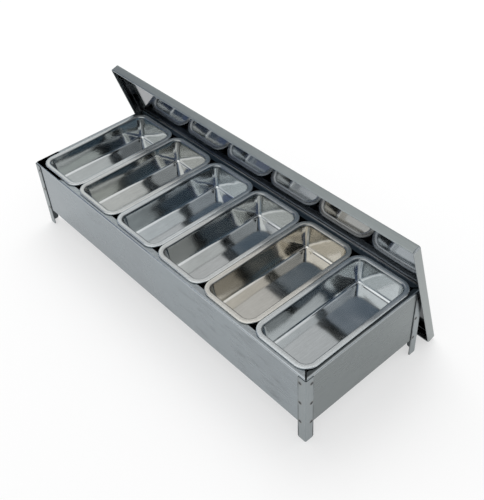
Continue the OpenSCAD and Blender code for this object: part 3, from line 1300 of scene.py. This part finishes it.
@dataclass
class CoverPan:
    """The cover: a flat pan with four hemmed skirts, leaning with its inside to the box."""

    size: CoverSize
    # Shares of painted shade on the cover's inside: the dark lower right corner, and the left end's
    # skirt and plate.
    shade_share: float = 0.93
    skirt_shade: float = 0.8
    plate_shade: float = 0.5
    swell_seed: int = 71
    shade_seed: int = 35

    def _skirt(self) -> Profile:
        """One skirt: the hem folded flat inside it, the skirt and the fold to the plate.

        Returns:
            Its middle line: distance in from the skirt's outer face, and from the plate's.
        """
        s = self.size
        half, hemmed = s.sheet / 2, s.skirt - s.sheet
        return (Profile().straight((3 * half, s.skirt - s.hem), (3 * half, hemmed), steps=3)
                .bend((s.sheet, hemmed), half, 0, 180, steps=8)
                .straight((half, hemmed), (half, s.fold), steps=6)
                .bend((s.fold, s.fold), s.fold - half, 180, 270, steps=8))

    def build(self) -> bpy.types.Object:
        """Carries the long section along the pan and one skirt up each of its ends.

        Returns:
            The finished cover.
        """
        s = self.size
        inset, level = s.fold + s.corner_slit, s.sheet / 2
        skirt = self._skirt()
        plate = Profile().straight((s.fold, level), (s.depth - s.fold, level), steps=60)
        section = skirt.joined(plate).joined(skirt.mirrored(s.depth))
        x = np.linspace(inset - s.length / 2, s.length / 2 - inset, s.stations)[:, None]
        skin = self._stretch(section, x)
        section = skirt.joined(Profile().straight((s.fold, level), (inset, level), steps=1))
        v = np.linspace(inset, s.depth - inset, s.end_stations)[:, None]
        for end in Side:
            skin = skin.joined(self._stretch(section, v, end))
        # Painted shade on the inside: a dark lower right corner and a darker left end, standing in for
        # reflected shadow.
        skin.paint["grime"] = self._shade_values(skin)
        return make_piece("cover_sheet", skin, COVER_STEEL, "cover", "cover")

    def _stretch(self, section: Profile, along: Array, end: Side | None = None) -> Skin:
        """One stretch of the sheet with its two faces. The free edges of its skirts are painted
        brighter, partly as rubbed wear and partly as a painted highlight.

        Args:
            section: Its section, whose left face is the one nearer the box.
            along: Where the section is repeated, as a column: along the pan, or up its end.
            end: The end whose skirt it is, or None for the plate and the long skirts.

        Returns:
            The closed skin.
        """
        s = self.size
        inner, outer = section.faces(s.sheet - s.hem_play)
        grids = []
        for face in (outer, inner):
            across, inward = face.T
            x, v = (along, across) if end is None else (end.value * (s.length / 2 - across), along)
            grids.append(self._placed(*np.broadcast_arrays(x, v, inward)))
        # Skirts' free edges: wear and a painted highlight through the edge value.
        return closed_sheet(*grids, {"edge": 0.8 * ease(outer[:, 1], s.skirt - 1.6, s.skirt)})

    def _placed(self, x: Array, v: Array, w: Array) -> Array:
        """Points of the cover in the frame of the object.

        The plate swells inwards by its swell times a soft ripple, which fades out at its edges.

        Args:
            x: Distance along the cover from its middle.
            v: Distance up the plate from its foot.
            w: Distance inward from the plate's outer face.

        Returns:
            A grid of points.
        """
        s = self.size
        q = math.radians(s.lean)
        swell = (s.swell * ripple(x, v, self.swell_seed, s.swell_wave)
                 * ease(s.length / 2 - np.abs(x), 4, 70) * ease(v, 4, 50) * ease(s.depth - v, 4, 50))
        w = w + swell * (1 - ease(w, 1.2, 3.0))
        return np.stack([x, s.foot_y - v * math.sin(q) - w * math.cos(q),
                         s.foot_z + v * math.cos(q) - w * math.sin(q)], -1)

    def _shade_values(self, skin: Skin) -> Array:
        """Painted shade on the inside of the cover, standing in for reflected shadow.

        The lower right corner is painted dark: its value is one minus a step of the distance from the
        right end, times one minus a step of the height, whose limit wanders by a ripple. A
        thinner painted shade darkens the left end, and most of all its skirt.

        Args:
            skin: The cover's skin.

        Returns:
            The value at each of its points.
        """
        s = self.size
        x, z = skin.points[:, 0], skin.points[:, 2]
        from_left, from_right = s.length / 2 + x, s.length / 2 - x
        wander = s.shade_wander * ripple(x, z, self.shade_seed, s.shade_wave)
        shade_share = (1 - ease(from_right, *s.shade_wide)) * (1 - ease(z + wander, *s.shade_high))
        left_shade = 1 - ease(from_left + wander, *s.left_shade_wide)
        left_shade = left_shade * np.where(from_left < s.fold, self.skirt_shade, self.plate_shade)
        return np.maximum(self.shade_share * shade_share, left_shade) * (1 - skin.paint["outside"])


# ---------------------------------------------------------------------------------------------
# Floor, light and camera
# ---------------------------------------------------------------------------------------------


@dataclass(frozen=True)
class Board:
    """A soft-edged board on the dome, bounded by parts of the direction from its middle.

    Each bound is a part (0 for X, 1 for Y, 2 for Z) with where its smooth step starts and ends.
    """

    colour: Colour
    above: tuple[tuple[int, float, float], ...]
    below: tuple[tuple[int, float, float], ...]

    def mask(self, desk: Desk, parts: list[Socket]) -> Socket:
        """The board's mask: the product of its bounds' smooth steps.

        Args:
            desk: Desk of the material.
            parts: The three parts of the direction.

        Returns:
            The mask's socket.
        """
        found: object = 1.0
        for bounds, ends in ((self.above, (0.0, 1.0)), (self.below, (1.0, 0.0))):
            for part, low, high in bounds:
                found = desk.maths("MULTIPLY", found, desk.span(parts[part], low, high, *ends))
        return found


@dataclass
class Studio:
    """The pale floor, the soft light and the camera. Lengths are in metres."""

    frame_size: tuple[int, int] = (484, 500)  # pixels
    focal: float = 770.2  # pixels
    place: tuple[float, float, float] = (0.70466, -0.52648, 0.85021)
    target: tuple[float, float, float] = (0.03714, 0.01375, 0.062)
    roll: float = -0.0710  # radians
    floor_half: float = 7.0
    floor_glow: float = 0.55
    world_light: float = 0.72
    lamp_place: tuple[float, float, float] = (-1.3, 1.2, 3.2)
    lamp_size: tuple[float, float] = (3.0, 2.4)
    lamp_power: float = 60.0
    dome_radius: float = 6.0
    dome_rings: int = 17
    dome_columns: int = 65
    boards: tuple[Board, ...] = (
        Board((0.13, 0.17, 0.275), above=((1, -0.7, -0.55), (2, 0.36, 0.46)),
              below=((0, -0.62, -0.5), (1, -0.02, 0.1), (2, 0.79, 0.86))),
        Board((0.155, 0.205, 0.30), above=((0, 0.2, 0.3), (1, -0.62, -0.5), (2, 0.78, 0.86)),
              below=((1, -0.05, 0.08),)),
        Board((0.03, 0.034, 0.037), above=((0, 0.6, 0.7), (2, 0.34, 0.42)), below=((1, 0.1, 0.25),)),
        Board((1.04, 1.08, 1.06), above=((1, 0.15, 0.28), (2, 0.44, 0.52)),
              below=((0, -0.74, -0.66),)))

    def build(self) -> None:
        """Sets up the view, the floor, the world, the lamp, the dome and the camera."""
        bpy.context.scene.view_settings.view_transform = "Standard"
        self._world()
        self._floor()
        self._lamp()
        self._tent()
        self._camera()

    @staticmethod
    def _shown(desk: Desk) -> Socket:
        """What sees the studio as a picture and not as a light.

        Args:
            desk: Desk of the tree.

        Returns:
            1 for rays from the camera, from metal and through glass, and 0 for the rest.
        """
        path = desk.node("ShaderNodeLightPath").outputs
        seen = desk.maths("MAXIMUM", path["Is Camera Ray"], path["Is Glossy Ray"])
        return desk.maths("MAXIMUM", seen, path["Is Transmission Ray"])

    def _world(self) -> None:
        """A white surround, a little dimmer as a light than as a background."""
        world = bpy.data.worlds.new("studio_surround")
        bpy.context.scene.world = world
        desk = Desk.cleared(world)
        strength = desk.span(self._shown(desk), 0.0, 1.0, self.world_light, 1.0)
        glow = desk.node("ShaderNodeBackground", {"Color": (1.0, 1.0, 1.0), "Strength": strength})
        desk.node("ShaderNodeOutputWorld", {"Surface": glow.outputs[0]})

    def _floor(self) -> None:
        """A wide white floor. Where it is seen, part of it glows white, so its shadow stays pale."""
        made = bpy.data.materials.new("studio_floor")
        desk = Desk.cleared(made)
        shader = desk.node("ShaderNodeBsdfPrincipled", {"Base Color": (0.97, 0.97, 0.97),
                                                        "Roughness": 0.9, "Specular IOR Level": 0.0})
        glow = desk.node("ShaderNodeEmission", {"Color": (1.0, 1.0, 1.0), "Strength": 1.0})
        share = desk.maths("MULTIPLY", self._shown(desk), self.floor_glow)
        both = desk.node("ShaderNodeMixShader", {0: share, 1: shader.outputs[0], 2: glow.outputs[0]})
        desk.node("ShaderNodeOutputMaterial", {"Surface": both.outputs[0]})
        corners = self.floor_half * np.array([[-1, -1, 0], [1, -1, 0], [1, 1, 0], [-1, 1, 0]])
        self._surface("floor", corners, np.array([[0, 1, 2, 3]]), made)

    @staticmethod
    def _surface(name: str, points: Array, quads: Array,
                 material: bpy.types.Material) -> bpy.types.Object:
        """An open surface of the studio.

        Args:
            name: Name of the object.
            points: Its points in metres.
            quads: Its faces.
            material: Its material.

        Returns:
            The new object.
        """
        mesh = bpy.data.meshes.new(name)
        mesh.from_pydata(points.tolist(), [], quads.tolist())
        mesh.materials.append(material)
        made = added(name, mesh)
        return made

    def _lamp(self) -> None:
        """One wide soft lamp from above the left rear; the steel sees the tent instead of it."""
        light = bpy.data.lights.new("soft_overhead", "AREA")
        light.shape = "RECTANGLE"
        light.size, light.size_y = self.lamp_size
        light.energy = self.lamp_power
        lamp = added("soft_overhead", light)
        lamp.location = self.lamp_place
        aim = Vector((0.0, 0.0, 0.1)) - lamp.location
        lamp.rotation_euler = aim.to_track_quat("-Z", "Y").to_euler()
        lamp.visible_glossy = False

    def _tent(self) -> None:
        """A dome that only polished surfaces see: a slate room below a soft light sky.

        With d the direction from the middle, the sky's strength steps smoothly from 0.62 to 1.25
        as 0.45 dx - dy + 0.5 dz goes from -0.25 to 0.55, and the room gives way to it as dz goes
        from 0.32 to 0.47. The room is palest at the floor and darkest a little above it. Four
        boards stand in it: a blue one at the left, a blue one overhead, a black one at the right
        and a pale one at the left rear.
        """
        made = bpy.data.materials.new("light_tent")
        desk = Desk.cleared(made)
        ray = desk.node("ShaderNodeVectorMath", {0: desk.node("ShaderNodeTexCoord").outputs["Object"]},
                        operation="NORMALIZE")
        parts = list(desk.node("ShaderNodeSeparateXYZ", {0: ray.outputs[0]}).outputs)
        x, y, z = parts
        side = desk.maths("SUBTRACT", desk.maths("MULTIPLY", z, 0.5), y)
        sky = desk.span(desk.maths("MULTIPLY_ADD", x, 0.45, side), -0.25, 0.55, 0.62, 1.25)
        light = desk.mix(1.0, (0.985, 1.0, 1.01), sky, "MULTIPLY")
        slate = desk.mix(desk.span(z, 0.2, 0.34), (0.18, 0.29, 0.39), (0.235, 0.30, 0.365))
        slate = desk.mix(desk.span(z, 0.02, 0.14), (0.50, 0.54, 0.53), slate)
        colour = desk.mix(desk.span(z, 0.32, 0.47), slate, light)
        for board in self.boards:
            colour = desk.mix(board.mask(desk, parts), colour, board.colour)
        glow = desk.node("ShaderNodeEmission", {"Color": colour, "Strength": 1.0})
        desk.node("ShaderNodeOutputMaterial", {"Surface": glow.outputs[0]})
        rise, turn = np.meshgrid(np.linspace(0, math.pi / 2 - 0.01, self.dome_rings),
                                 np.linspace(0, 2 * math.pi, self.dome_columns), indexing="ij")
        points = np.stack([np.cos(rise) * np.cos(turn), np.cos(rise) * np.sin(turn), np.sin(rise)], -1)
        dome = self._surface("light_tent", self.dome_radius * points.reshape(-1, 3),
                             grid_quads(self.dome_rings, self.dome_columns), made)
        dome.visible_camera = dome.visible_diffuse = dome.visible_shadow = False
        dome.visible_transmission = dome.visible_volume_scatter = False

    def _camera(self) -> None:
        """A lens from the front right, turned a little about its own axis.

        The focal length in millimetres is the one in pixels times the sensor's width over the
        frame's longer side. The camera's axes are the view direction, and the level right and up
        directions turned by the roll.
        """
        data = bpy.data.cameras.new("camera")
        data.sensor_width = 36.0
        data.lens = self.focal * data.sensor_width / max(self.frame_size)
        data.clip_start, data.clip_end = 0.01, 60.0
        camera = added("camera", data)
        place = Vector(self.place)
        ahead = (Vector(self.target) - place).normalized()
        right = ahead.cross(Vector((0, 0, 1))).normalized()
        up = right.cross(ahead)
        c, s = math.cos(self.roll), math.sin(self.roll)
        turned_right, turned_up = c * right + s * up, c * up - s * right
        camera.matrix_world = Matrix.Translation(place) @ Matrix(
            (turned_right, turned_up, -ahead)).transposed().to_4x4()
        bpy.context.scene.camera = camera


def main() -> None:
    logging.basicConfig(level=logging.INFO, format="%(name)s: %(message)s")
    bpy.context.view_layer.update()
    Box(BoxSize()).build()
    trays = TraySize()
    for number in range(1, trays.count + 1):
        DrawnTray(number, trays).build()
    CoverPan(CoverSize()).build()
    Studio().build()


if __name__ == "__main__":
    main()
